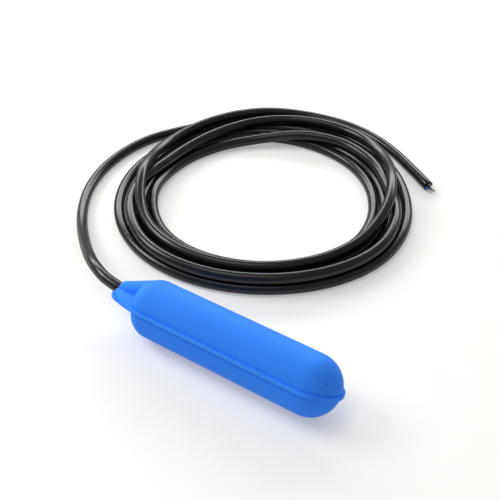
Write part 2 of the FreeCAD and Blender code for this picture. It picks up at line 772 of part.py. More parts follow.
def clamp_seat(body):
    """Two webs and two screw bosses in the lower shell that carry the cable clamp."""
    webs = new_sketch(body, "ClampWebs")
    full = cavity_radius + mm.shell_wall / 2
    draw_box(webs, (clamp_low, 0.0), (clamp_low + mm.clamp_web, heel_reach(clamp_low)))
    draw_box(webs, (clamp_high - mm.clamp_web, 0.0), (clamp_high, full))
    turn(body, webs, 180.0, reverse=True)
    bosses = new_sketch(body, "ClampBosses")
    for side in (1, -1):
        draw_circle(bosses, (clamp_x, mm.clamp_span * side), mm.clamp_boss)
    edge = mm.clamp_span + mm.clamp_boss
    pad(body, bosses, (full * full - edge * edge).root(), reverse=True)
    trough = new_sketch(body, "ClampTrough", "YZ_Plane", clamp_low)
    draw_half_round(trough, cable_bore, mm.cable_rise, False)
    pocket(body, trough, mm.clamp_length, reverse=True)
    holes = new_sketch(body, "ClampBossHoles")
    for side in (1, -1):
        draw_circle(holes, (clamp_x, mm.clamp_span * side), mm.clamp_screw)
    pocket(body, holes, mm.clamp_screw_length)


# Cable entry


def cable_sheath():
    length = case_rear + mm.sheath_inside - mouth_x
    sheath = rod("CableSheathRod", cable_radius, length, (mouth_x, 0.0, mm.cable_rise))
    return finish(group("CableSheath", sheath), "cable_sheath")


def ring(name, outer, inner, length, at):
    solid = rod(name + "Outer", outer, length, at)
    hole = rod(name + "Hole", inner, length, at)
    return cut(name, solid, hole)


def cable_bush():
    at = (cavity_rear + mm.stop_gap, 0.0, mm.cable_rise)
    bush = ring("CableBush", mm.bush_radius, cable_bore, mm.bush_length, at)
    return finish(bush, "cable_bush")


def cable_clamp():
    body = new_body("CableClamp")
    feet = new_sketch(body, "ClampFeet", "YZ_Plane", clamp_low)
    draw_box(feet, (-mm.clamp_foot, 0.0), (mm.clamp_foot, mm.clamp_thickness))
    pad(body, feet, mm.clamp_length)
    arch = new_sketch(body, "ClampArch", "YZ_Plane", clamp_low)
    draw_half_round(arch, cable_bore + mm.clamp_thickness, mm.cable_rise, True)
    pad(body, arch, mm.clamp_length)
    hollow = new_sketch(body, "ClampHollow", "YZ_Plane", clamp_low)
    draw_circle(hollow, (0.0, mm.cable_rise), cable_bore)
    pocket(body, hollow, mm.clamp_length, reverse=True)
    holes = new_sketch(body, "ClampHoles")
    for side in (1, -1):
        draw_circle(holes, (clamp_x, mm.clamp_span * side), mm.clamp_screw + mm.screw_clearance)
    pocket(body, holes, mm.clamp_thickness, reverse=True)
    return finish(body, "cable_clamp")


def clamp_screws():
    screws = []
    top = mm.clamp_thickness
    for mark, side in (("Far", 1), ("Near", -1)):
        y = mm.clamp_span * side
        base = -mm.clamp_screw_length + mm.stop_gap
        shank = rod("ClampShank" + mark, mm.clamp_screw, top - base, (clamp_x, y, base), "z")
        head = rod("ClampHead" + mark, mm.clamp_head_radius, mm.clamp_head_height,
                   (clamp_x, y, top), "z")
        slot = block("ClampSlot" + mark,
                     (clamp_x - mm.clamp_head_radius, y - 0.3, top + mm.clamp_head_height / 2),
                     (clamp_x + mm.clamp_head_radius, y + 0.3, top + mm.clamp_head_height))
        screws.append(cut("ClampScrew" + mark, fuse("ClampRaw" + mark, shank, head), slot))
    return finish(group("ClampScrews", *screws), "clamp_screws")


# Switch case


def switch_case():
    body = new_body("SwitchCase")
    sketch = new_sketch(body, "CaseForm")
    edge = mm.case_edge
    outer = case_radius
    rear = case_rear
    steps = [
        ((case_front, outer - edge),), ((case_front - edge, outer), edge, 1), ((rear, outer),),
        ((rear, case_bore),), ((case_front - mm.case_wall, case_bore),),
        ((case_front - mm.case_wall, 0.0),), ((case_front, 0.0),),
    ]
    draw_outline(sketch, (case_front, 0.0), steps)
    turn(body, sketch)
    return finish(body, "switch_case")


def case_cap():
    body = new_body("CaseCap")
    spigot = case_bore - mm.cap_clearance
    groove = case_bore - mm.seal_section + mm.seal_squeeze
    rear = case_rear
    start = rear + mm.cap_spigot / 2 - mm.seal_section / 2
    end = start + mm.seal_section
    tip = rear + mm.cap_spigot
    profile = [
        (cap_front, 0.0), (cap_front, case_radius), (rear, case_radius), (rear, spigot),
        (start, spigot), (start, groove), (end, groove), (end, spigot), (tip, spigot),
        (tip, spigot - mm.cap_wall), (rear, spigot - mm.cap_wall), (rear, 0.0),
    ]
    turn(body, draw_polygon(new_sketch(body, "CapForm"), profile))
    hub = new_sketch(body, "CapHub", "YZ_Plane", cap_front)
    draw_circle(hub, (0.0, mm.cable_rise), mm.hub_radius)
    pad(body, hub, mm.hub_length, reverse=True)
    seat = new_sketch(body, "CapGland", "YZ_Plane", hub_end)
    draw_circle(seat, (0.0, mm.cable_rise), mm.gland_radius)
    pocket(body, seat, mm.gland_depth, reverse=True)
    bore = new_sketch(body, "CapBore", "YZ_Plane", hub_end)
    draw_circle(bore, (0.0, mm.cable_rise), cable_bore)
    pocket(body, bore, mm.hub_length + mm.cap_flange, reverse=True)
    return finish(body, "case_cap")


def cap_seal():
    """Sealing ring squeezed square in the groove of the cap's spigot."""
    gap = mm.cap_clearance
    start = case_rear + mm.cap_spigot / 2 - mm.seal_section / 2 + gap
    inner = case_bore - mm.seal_section + mm.seal_squeeze + gap
    length = mm.seal_section - gap * 2.0
    return finish(ring("CapSeal", case_bore - gap / 2, inner, length, (start, 0.0, 0.0)),
                  "cap_seal")


def gland_pieces():
    outer = mm.gland_radius - mm.gland_clearance
    inner = cable_radius + mm.gland_clearance
    grommet_start = hub_end + mm.ring_thickness
    grommet_length = mm.gland_depth - mm.ring_thickness
    at = (grommet_start, 0.0, mm.cable_rise)
    finish(ring("CableGrommet", outer, inner, grommet_length, at), "cable_grommet")
    at = (hub_end, 0.0, mm.cable_rise)
    finish(ring("GlandRing", outer, cable_bore, mm.ring_thickness, at), "gland_ring")


# Switch carrier with the ball race

carrier_reach = case_bore - mm.carrier_clearance
cheek_inner = mm.switch_width / 2 + mm.switch_side_gap
cheek_outer = cheek_inner + mm.cheek_thickness
cheek_low = mm.cheek_margin - (carrier_reach * carrier_reach - cheek_outer * cheek_outer).root()
pivot_x = lever_back + mm.lever_thickness / 2
pivot_z = cheek_low + mm.cheek_under
switch_half = -pivot_z - mm.pivot_below
cheek_high = switch_half + mm.cheek_over
plunger_level = pivot_z + mm.plunger_above
lever_top = pivot_z + mm.lever_length
hole_x = switch_rear + mm.hole_setback


def switch_carrier():
    body = new_body("SwitchCarrier")
    reach = carrier_reach
    mouth = race_mouth
    profile = [
        (mouth, 0.0), (mouth, reach), (mouth + mm.carrier_disc, reach),
        (mouth + mm.carrier_disc, race_radius), (race_end, race_radius), (race_end, 0.0),
    ]
    turn(body, draw_polygon(new_sketch(body, "RaceForm"), profile))
    fins = new_sketch(body, "RaceFins", "YZ_Plane", mouth)
    half = mm.fin_thickness / 2
    long_reach = (reach * reach - half * half).root()
    draw_box(fins, (-half, -long_reach), (half, long_reach))
    pad(body, fins, race_end - mouth)
    wings = new_sketch(body, "RaceWings", "YZ_Plane", mouth)
    draw_box(wings, (-long_reach, -half), (long_reach, half))
    pad(body, wings, race_end - mouth)
    for mark, side in (("Far", 1), ("Near", -1)):
        cheek = new_sketch(body, "Cheek" + mark, "YZ_Plane", switch_rear)
        low = (cheek_inner * side, cheek_low)
        high = (cheek_outer * side, cheek_high)
        if side > 0:
            draw_box(cheek, low, high)
        else:
            draw_box(cheek, (high[0], low[1]), (low[0], high[1]))
        pad(body, cheek, mouth - switch_rear)
    bore = new_sketch(body, "RaceBore", "YZ_Plane", lever_front)
    draw_circle(bore, (0.0, 0.0), race_bore)
    pocket(body, bore, race_end - lever_front, reverse=True)
    holes = new_sketch(body, "CheekHoles", "XZ_Plane")
    for side in (1, -1):
        draw_circle(holes, (hole_x, hole_level * side),
                    mm.switch_screw + mm.screw_clearance)
    draw_circle(holes, (pivot_x, pivot_z), mm.pivot_pin + mm.pivot_clearance / 2)
    pocket(body, holes, cheek_outer * 2.0 + 1.0, middle=True)
    return finish(body, "switch_carrier")


def race_plug():
    start = race_end - mm.plug_depth
    spigot = rod("PlugSpigot", race_bore - mm.gland_clearance, mm.plug_depth, (start, 0.0, 0.0))
    flange = rod("PlugFlange", race_radius, mm.plug_flange, (race_end, 0.0, 0.0))
    return finish(fuse("RacePlug", spigot, flange), "race_plug")


def steel_ball():
    ball = doc.addObject("Part::Sphere", "BallForm")
    bind(ball, Radius=mm.ball_diameter / 2, Placement__Base__x=ball_rest)
    return finish(group("SteelBall", ball), "steel_ball")


def switch_lever():
    """Bent lever, drawn pressed and then turned to its released place about the pin."""
    body = new_body("SwitchLever")
    plate = new_sketch(body, "LeverPlate", "XZ_Plane")
    half = mm.lever_thickness / 2
    reach = lever_top - pivot_z
    draw_box(plate, (-half, 0.0), (half, reach))
    pad(body, plate, mm.lever_width, middle=True)
    eye = new_sketch(body, "LeverEye", "XZ_Plane")
    draw_circle(eye, (0.0, 0.0), mm.lever_eye)
    pad(body, eye, mm.lever_width, middle=True)
    lip = new_sketch(body, "LeverLip", "XZ_Plane")
    draw_box(lip, (-half, reach - mm.lever_thickness), (half + mm.lever_thickness, reach))
    pad(body, lip, mm.lever_width, middle=True)
    bore = new_sketch(body, "LeverBore", "XZ_Plane")
    draw_circle(bore, (0.0, 0.0), mm.pivot_pin + mm.pivot_clearance)
    pocket(body, bore, mm.lever_width + 1.0, middle=True)
    body.Placement = FreeCAD.Placement(Vector(0, 0, 0), FreeCAD.Rotation(Vector(0, 1, 0), 0))
    body.Placement.Rotation = FreeCAD.Rotation(Vector(0, 1, 0), mm.lever_swing.value)
    bind(body, Placement__Base__x=pivot_x, Placement__Base__z=pivot_z,
         Placement__Rotation__Angle=mm.lever_swing)
    return finish(group("LeverLaid", body), "switch_lever")


def lever_pin():
    pin = rod("LeverPinRod", mm.pivot_pin, cheek_outer * 2.0, (pivot_x, -cheek_outer, pivot_z), "y")
    return finish(group("LeverPin", pin), "lever_pin")


# Microswitch

room_rear = switch_rear + mm.switch_back_wall
room_front = switch_face - mm.switch_wall
room_top = switch_half - mm.switch_wall
room_floor = -mm.switch_width / 2 + mm.switch_wall
base_face = mm.switch_width / 2 - mm.switch_cover
collar_rear = room_front - mm.touch_gap - mm.switch_wall / 2
blade_front = collar_rear - mm.switch_wall / 2 - mm.blade_back
blade_rear = blade_front - mm.blade_thickness
blade_x = blade_front - mm.blade_thickness / 2
open_face = blade_rear - mm.contact_height - mm.contact_gap
closed_face = blade_front + mm.contact_height + mm.closed_gap
tab_half = switch_half * mm.tab_share
tab_spacing = room_top - tab_half - mm.tab_gap
hole_level = tab_spacing / 2
blade_root = -tab_spacing - mm.blade_foot
blade_tip = tab_spacing + mm.blade_over
contact_level = tab_spacing - mm.contact_drop
strip_half = mm.tab_thickness / 2


def switch_base():
    body = new_body("SwitchBase")
    outline = new_sketch(body, "BaseForm", "XZ_Plane", -base_face)
    half = switch_half
    draw_box(outline, (switch_rear, -half), (switch_face, half))
    pad(body, outline, mm.switch_width - mm.switch_cover)
    room = new_sketch(body, "BaseRoom", "XZ_Plane", -base_face)
    draw_box(room, (room_rear, -room_top), (room_front, room_top))
    pocket(body, room, base_face - room_floor, reverse=True)
    holes = new_sketch(body, "BaseHoles", "XZ_Plane", -base_face)
    for side in (1, -1):
        draw_circle(holes, (hole_x, hole_level * side),
                    mm.switch_screw + mm.screw_clearance)
    pocket(body, holes, mm.switch_width, reverse=True)
    guide = new_sketch(body, "BaseGuide", "YZ_Plane", room_front)
    draw_circle(guide, (0.0, plunger_level), mm.plunger_radius + mm.plunger_clearance)
    pocket(body, guide, mm.switch_wall, reverse=True)
    slots = new_sketch(body, "BaseSlots", "YZ_Plane", switch_rear)
    gap = mm.strip_clearance
    for place in (-1, 0, 1):
        level = tab_spacing * place
        low = (-strip_half - gap, level - tab_half - gap)
        high = (strip_half + gap, level + tab_half + gap)
        draw_box(slots, low, high)
    pocket(body, slots, mm.switch_back_wall, reverse=True)
    return finish(body, "switch_base")


def switch_cover():
    half = switch_half
    plate = block("CoverPlate", (switch_rear, base_face, -half),
                  (switch_face, mm.switch_width / 2, half))
    holes = []
    for mark, side in (("Top", 1), ("Bottom", -1)):
        at = (hole_x, base_face - 0.5, hole_level * side)
        holes.append(rod("CoverHole" + mark, mm.switch_screw + mm.screw_clearance,
                         mm.switch_cover + 1.0, at, "y"))
    return finish(cut("SwitchCover", plate, fuse("CoverHoles", *holes)), "switch_cover")


def switch_plunger():
    inner = blade_front + mm.blade_back
    stem = rod("PlungerStem", mm.plunger_radius, plunger_out - inner,
               (inner, 0.0, plunger_level))
    collar = rod("PlungerCollar", mm.plunger_collar, mm.switch_wall / 2,
                 (collar_rear, 0.0, plunger_level))
    return finish(fuse("SwitchPlunger", stem, collar), "switch_plunger")


def contact_blade():
    half = mm.blade_width / 2
    pivot = blade_root + mm.blade_thickness / 2
    strip = block("BladeStrip", (blade_rear, -half, pivot), (blade_front, half, blade_tip))
    button = rod("BladeButton", mm.contact_radius,
                 mm.blade_thickness + mm.contact_height * 2.0,
                 (blade_rear - mm.contact_height, 0.0, contact_level))
    foot = rod("BladeFoot", mm.blade_thickness / 2, mm.blade_width, (blade_x, -half, pivot),
               "y")
    return finish(fuse("ContactBlade", strip, button, foot), "contact_blade")


def tab(name, place):
    """Strip that runs from behind the switch through its back wall to the room."""
    level = tab_spacing * place
    low = (switch_rear - mm.tab_length, -strip_half, level - tab_half)
    return block(name, low, (room_rear, strip_half, level + tab_half))


def terminals():
    half = mm.blade_width / 2
    thick = mm.tab_thickness
    common_terminal(half, thick)

    riser_x = room_rear + thick
    neck = block("OpenNeck", (room_rear, -strip_half, -tab_half),
                 (riser_x + thick, strip_half, tab_half))
    riser = block("OpenRiser", (riser_x, -half, -tab_half),
                  (riser_x + thick, half, contact_level + mm.contact_radius))
    button = rod("OpenButton", mm.contact_radius, open_face - riser_x - thick / 2,
                 (riser_x + thick / 2, 0.0, contact_level))
    finish(fuse("OpenTerminal", tab("OpenTab", 0), neck, riser, button), "open_terminal")

    shelf_low = tab_spacing + tab_half - thick
    hook_x = closed_face + thick / 2
    shelf = block("ClosedShelf", (room_rear, -half, shelf_low),
                  (hook_x + thick, half, shelf_low + thick))
    hook = block("ClosedHook", (hook_x, -half, contact_level - mm.contact_radius),
                 (hook_x + thick, half, shelf_low + thick))
    button = rod("ClosedButton", mm.contact_radius, thick, (closed_face, 0.0, contact_level))
    finish(fuse("ClosedTerminal", tab("ClosedTab", 1), shelf, hook, button), "closed_terminal")


def common_terminal(half, thick):
    """Tab with a cradle that the blade's foot rocks in."""
    low = -tab_spacing - tab_half
    gap = mm.strip_clearance
    floor = block("CommonFloor", (room_rear, -half, low),
                  (blade_front + gap + thick, half, blade_root - gap))
    rear = block("CommonRear", (room_rear, -half, low),
                 (blade_rear - gap, half, blade_root + thick))
    front = block("CommonFront", (blade_front + gap, -half, low),
                  (blade_front + gap + thick, half, blade_root + thick / 2))
    finish(fuse("CommonTerminal", tab("CommonTab", -1), floor, rear, front), "common_terminal")


def switch_fasteners():
    screws = []
    nuts = []
    for mark, side in (("Top", 1), ("Bottom", -1)):
        level = hole_level * side
        start = -cheek_outer - mm.switch_head_height
        length = cheek_outer * 2.0 + mm.switch_head_height * 2.0
        shank = rod("ScrewShank" + mark, mm.switch_screw, length + 0.4, (hole_x, start, level), "y")
        head = rod("ScrewHead" + mark, mm.switch_head_radius, mm.switch_head_height,
                   (hole_x, start, level), "y")
        slot = block("ScrewSlot" + mark,
                     (hole_x - mm.switch_head_radius, start, level - 0.25),
                     (hole_x + mm.switch_head_radius, start + 0.6, level + 0.25))
        screws.append(cut("SwitchScrew" + mark, fuse("ScrewRaw" + mark, shank, head), slot))
        prism = doc.addObject("Part::Prism", "NutForm" + mark)
        prism.Polygon = 6
        prism.Placement = FreeCAD.Placement(Vector(0, 0, 0),
                                            FreeCAD.Rotation(Vector(-1, 0, 0), 90))
        bind(prism, Circumradius=mm.switch_head_radius, Height=mm.switch_head_height)
        move(prism, (hole_x, cheek_outer, level))
        thread = rod("NutHole" + mark, mm.switch_screw + mm.strip_clearance,
                     mm.switch_head_height, (hole_x, cheek_outer, level), "y")
        nuts.append(cut("SwitchNut" + mark, prism, thread))
    finish(group("SwitchScrews", *screws), "switch_screws")
    finish(group("SwitchNuts", *nuts), "switch_nuts")


# Wiring

core_radius = mm.core_diameter / 2
barrel_bore = core_radius + mm.core_clearance
barrel_radius = barrel_bore + mm.barrel_wall
crimp_rear = switch_rear - mm.tab_length - mm.crimp_wall
crimp_half_y = strip_half + mm.strip_clearance + mm.crimp_wall
crimp_half_z = tab_half + mm.strip_clearance + mm.crimp_wall
TERMINALS = (("Common", -1), ("Open", 0), ("Closed", 1))


def crimps():
    """A receptacle on each tab with a barrel for its core, and a sleeve over the pair."""
    pieces = []
    sleeves = []
    for mark, place in TERMINALS:
        level = tab_spacing * place
        front = crimp_rear + mm.crimp_length
        shell = block("CrimpBox" + mark, (crimp_rear, -crimp_half_y, level - crimp_half_z),
                      (front, crimp_half_y, level + crimp_half_z))
        barrel = rod("CrimpBarrel" + mark, barrel_radius, mm.barrel_length,
                     (crimp_rear - mm.barrel_length, 0.0, level))
        slot = block("CrimpSlot" + mark,
                     (crimp_rear + mm.crimp_wall / 2, -crimp_half_y + mm.crimp_wall,
                      level - crimp_half_z + mm.crimp_wall),
                     (front, crimp_half_y - mm.crimp_wall, level + crimp_half_z - mm.crimp_wall))
        hole = rod("CrimpHole" + mark, barrel_bore, mm.barrel_length - mm.crimp_wall,
                   (crimp_rear - mm.barrel_length, 0.0, level))
        solid = fuse("CrimpRaw" + mark, shell, barrel)
        pieces.append(cut("Crimp" + mark, solid, fuse("CrimpVoid" + mark, slot, hole)))
        inner = (crimp_half_y * crimp_half_y + crimp_half_z * crimp_half_z).root() + mm.sleeve_gap
        start = crimp_rear - mm.barrel_length + mm.crimp_wall
        length = mm.barrel_length + mm.crimp_length - mm.crimp_wall
        sleeves.append(ring("Insulator" + mark, inner + mm.insulator_wall, inner, length,
                            (start, 0.0, level)))
    finish(group("CrimpReceptacles", *pieces), "crimp_receptacles")
    finish(group("CrimpSleeves", *sleeves), "crimp_sleeves")


def tangent_path(points, share=0.45):
    """Straight runs joined by tangent arcs; gives the wire and the radius of each arc."""
    edges = []
    radii = []
    here = points[0]
    for before, corner, after in zip(points, points[1:], points[2:]):
        back = before - corner
        ahead = after - corner
        half_turn = (math.pi - back.getAngle(ahead)) / 2
        trim = share * min(back.Length, ahead.Length)
        radii.append(trim / math.tan(half_turn))
        back.normalize()
        ahead.normalize()
        begin = corner + back * trim
        end = corner + ahead * trim
        inward = (back + ahead).normalize()
        reach = trim / math.tan(half_turn)
        depth = reach / math.cos(half_turn) - reach
        middle = corner + inward * depth
        edges.append(Part.LineSegment(here, begin).toShape())
        edges.append(Part.Arc(begin, middle, end).toShape())
        here = end
    edges.append(Part.LineSegment(here, points[-1]).toShape())
    return Part.Wire(edges), radii


def tube(points, radius, title):
    """Round solid along a path, with its radii and its volume checked and printed."""
    wire, radii = tangent_path(points)
    start = points[0]
    axis = points[1] - points[0]
    circle = Part.makeCircle(radius, start, axis)
    solid = wire.makePipeShell([Part.Wire([circle])], True, True)
    if solid.Volume < 0:
        solid.reverse()
    section = math.pi * radius * radius
    print(title, "length %.1f" % wire.Length, "radii", [round(r, 1) for r in radii],
          "volume share %.4f" % (solid.Volume / (section * wire.Length)))
    return solid


def place_solid(name, shape):
    item = doc.addObject("Part::Feature", name)
    item.Shape = shape
    return item


def inner_cores():
    """Three cores that fan out from the stripped sheath to the crimp barrels."""
    start = case_rear.value + mm.sheath_inside.value
    end = crimp_rear.value - mm.crimp_wall.value
    mouth = crimp_rear.value - mm.barrel_length.value
    rise = mm.cable_rise.value
    splay = mm.free_core_splay.value
    radius = core_radius.value
    labels = ("core_blue", "core_brown", "core_black")
    for (mark, place), label, angle in zip(TERMINALS, labels, (210.0, 330.0, 90.0)):
        turn_angle = math.radians(angle)
        if place == 0:
            turn_angle = math.radians(330.0)
        if place == -1:
            turn_angle = math.radians(210.0)
        y = splay * math.cos(turn_angle)
        z = rise + splay * math.sin(turn_angle)
        level = tab_spacing.value * place
        run = (mouth - start) / 3
        points = [
            Vector(start, y, z), Vector(start + run, y, z),
            Vector(mouth - run, 0, level), Vector(end, 0, level),
        ]
        solid = tube(points, radius, label)
        item = place_solid("Core" + mark, solid)
        finish(item, label)


# Free cable in the part's own frame


def cable_mouth():
    """Middle of the sleeve's mouth once the float is laid down."""
    angle = math.radians(mm.roll_angle.value)
    rise = mm.cable_rise.value
    y = rise * math.sin(angle)
    z = mm.body_radius.value + rise * math.cos(angle)
    return Vector(mouth_x.value, y, z)


def cable_lead():
    points = [cable_mouth()] + [Vector(*point) for point in LEAD_POINTS]
    return keep(place_solid("CableLead", tube(points, cable_radius.value, "lead")), "cable_lead")


def cable_tail():
    points = [Vector(*point) for point in TAIL_POINTS]
    return keep(place_solid("CableTail", tube(points, cable_radius.value, "tail")), "cable_tail")


def cable_coil():
    """Closed solid of the coil's outer shape."""
    body = new_body("CableCoil")
    sketch = new_sketch(body, "CoilForm", "XZ_Plane")
    inner = mm.coil_inner
    outer = mm.coil_outer
    top = mm.coil_height
    edge = mm.coil_edge
    profile = [
        (inner + edge, 0.0), (outer - edge, 0.0), (outer, edge), (outer, top - edge),
        (outer - edge, top), (inner + edge, top), (inner, top - edge), (inner, edge),
    ]
    draw_polygon(sketch, profile)
    feature = body.newObject("PartDesign::Revolution", "CoilTurn")
    feature.Profile = sketch
    feature.ReferenceAxis = (sketch, ["V_Axis"])
    feature.Angle = 360.0
    body.Tip = feature
    bind(body, Placement__Base__x=mm.coil_x, Placement__Base__y=mm.coil_y)
    return keep(body, "cable_coil")


def free_end():
    """Three stripped cores that stand out of the cut sheath, each with a tinned sleeve."""
    last = Vector(*TAIL_POINTS[-1])
    axis = (last - Vector(*TAIL_POINTS[-2])).normalize()
    side = Vector(-axis.y, axis.x, 0).normalize()
    up = Vector(0, 0, 1)
    length = mm.free_core_length.value
    radius = core_radius.value
    ferrule = mm.ferrule_length.value
    ferrules = []
    for label, angle in (("free_core_blue", 210.0), ("free_core_brown", 330.0),
                         ("free_core_black", 90.0)):
        turned = math.radians(angle)
        splay = mm.free_core_splay.value
        start = last + side * splay * math.cos(turned) + up * splay * math.sin(turned)
        core = Part.makeCylinder(radius, length - ferrule, start, axis)
        keep(place_solid(label.title().replace("_", ""), core), label)
        begin = start + axis * (length - ferrule)
        tip = Part.makeCylinder(radius - mm.ferrule_wall.value, ferrule, begin, axis)
        ferrules.append(place_solid("Ferrule%d" % len(ferrules), tip))
    return keep(group("EndFerrules", *ferrules), "end_ferrules")


def build():
    shell_upper()
    shell_lower()
    cable_sheath()
    cable_bush()
    cable_clamp()
    clamp_screws()
    switch_case()
    case_cap()
    cap_seal()
    gland_pieces()
    switch_carrier()
    race_plug()
    steel_ball()
    switch_lever()
    lever_pin()
    switch_base()
    switch_cover()
    switch_plunger()
    contact_blade()
    terminals()
    switch_fasteners()
    crimps()
    inner_cores()
    cable_lead()
    cable_coil()
    cable_tail()
    free_end()


def check():
    doc.recompute()
    wrong = [item.Name for item in doc.Objects
             if "Invalid" in item.State or "Error" in item.State]
    if wrong:
        raise RuntimeError("not built: %s" % ", ".join(wrong))
    for item in parts:
        if item.Shape.isNull() or not item.Shape.isValid():
            raise RuntimeError("%s has no valid shape" % item.Label)


def write():
    os.makedirs("parts", exist_ok=True)
    for item in parts:
        item.Shape.exportStep("parts/%s.step" % item.Label)
        solids = item.Shape.Solids
        print("%-20s solids %d volume %.1f" % (item.Label, len(solids), item.Shape.Volume))


build()
check()
write()
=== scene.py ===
import bpy
import bmesh
import json
import math
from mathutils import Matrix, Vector


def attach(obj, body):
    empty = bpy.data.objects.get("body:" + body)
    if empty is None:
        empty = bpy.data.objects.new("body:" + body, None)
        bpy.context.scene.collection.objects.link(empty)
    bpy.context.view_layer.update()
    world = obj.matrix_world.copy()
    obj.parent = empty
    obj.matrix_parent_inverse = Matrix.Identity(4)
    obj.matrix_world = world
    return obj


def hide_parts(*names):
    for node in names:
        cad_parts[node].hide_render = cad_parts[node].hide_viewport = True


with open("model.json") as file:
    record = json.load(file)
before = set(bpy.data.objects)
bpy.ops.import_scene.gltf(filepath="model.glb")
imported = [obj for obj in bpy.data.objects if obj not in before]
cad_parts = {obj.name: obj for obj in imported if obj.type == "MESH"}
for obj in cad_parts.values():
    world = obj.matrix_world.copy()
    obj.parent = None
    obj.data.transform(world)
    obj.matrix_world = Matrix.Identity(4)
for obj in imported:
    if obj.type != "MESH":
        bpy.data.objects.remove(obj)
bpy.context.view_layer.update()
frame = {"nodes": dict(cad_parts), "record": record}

# Sizes in metres, in the CAD frame.
CABLE = 0.0042          # the cable's radius
CABLE_SIDES = 28        # faces around the cable
CABLE_GAP = 0.0022      # least distance between two rings of the cable
CABLE_RIM = 0.0006      # rounding of the cable's cut ends
RIM_STEPS = (0.35, 0.7, 1.0)   # the rounding's rings, as shares of a quarter turn
BODY = 0.020            # the float's radius
ROLL = math.radians(-27.0)   # the float's roll about its own length

# The cable's route from the neck to the coil and from the coil to the free end,
# close to the CAD route's points and moved a little to follow the photo.
MOUTH = (-0.08375, 0.000908, 0.021782)
LEAD = [
    (-0.09945, 0.00230, 0.02280),
    (-0.10945, 0.00580, 0.02300),
    (-0.12150, 0.01200, 0.02130),
    (-0.13570, 0.02210, 0.01700),
    (-0.15270, 0.03590, 0.01120),
    (-0.17290, 0.05380, 0.00620),
    (-0.19235, 0.07500, 0.00430),
    (-0.20865, 0.10100, 0.00430),
    (-0.21845, 0.13100, 0.00430),
    (-0.22063, 0.16201, 0.00430),
    (-0.21561, 0.18952, 0.00430),
]
TAIL = [
    (-0.16894, 0.25425, 0.01299),
    (-0.15346, 0.27509, 0.01156),
    (-0.13288, 0.29237, 0.00824),
    (-0.10706, 0.30390, 0.00546),
    (-0.07925, 0.30700, 0.00430),
    (-0.05125, 0.30060, 0.00430),
    (-0.02525, 0.28800, 0.00430),
    (-0.00325, 0.27360, 0.00430),
    (0.01825, 0.25920, 0.00430),
]

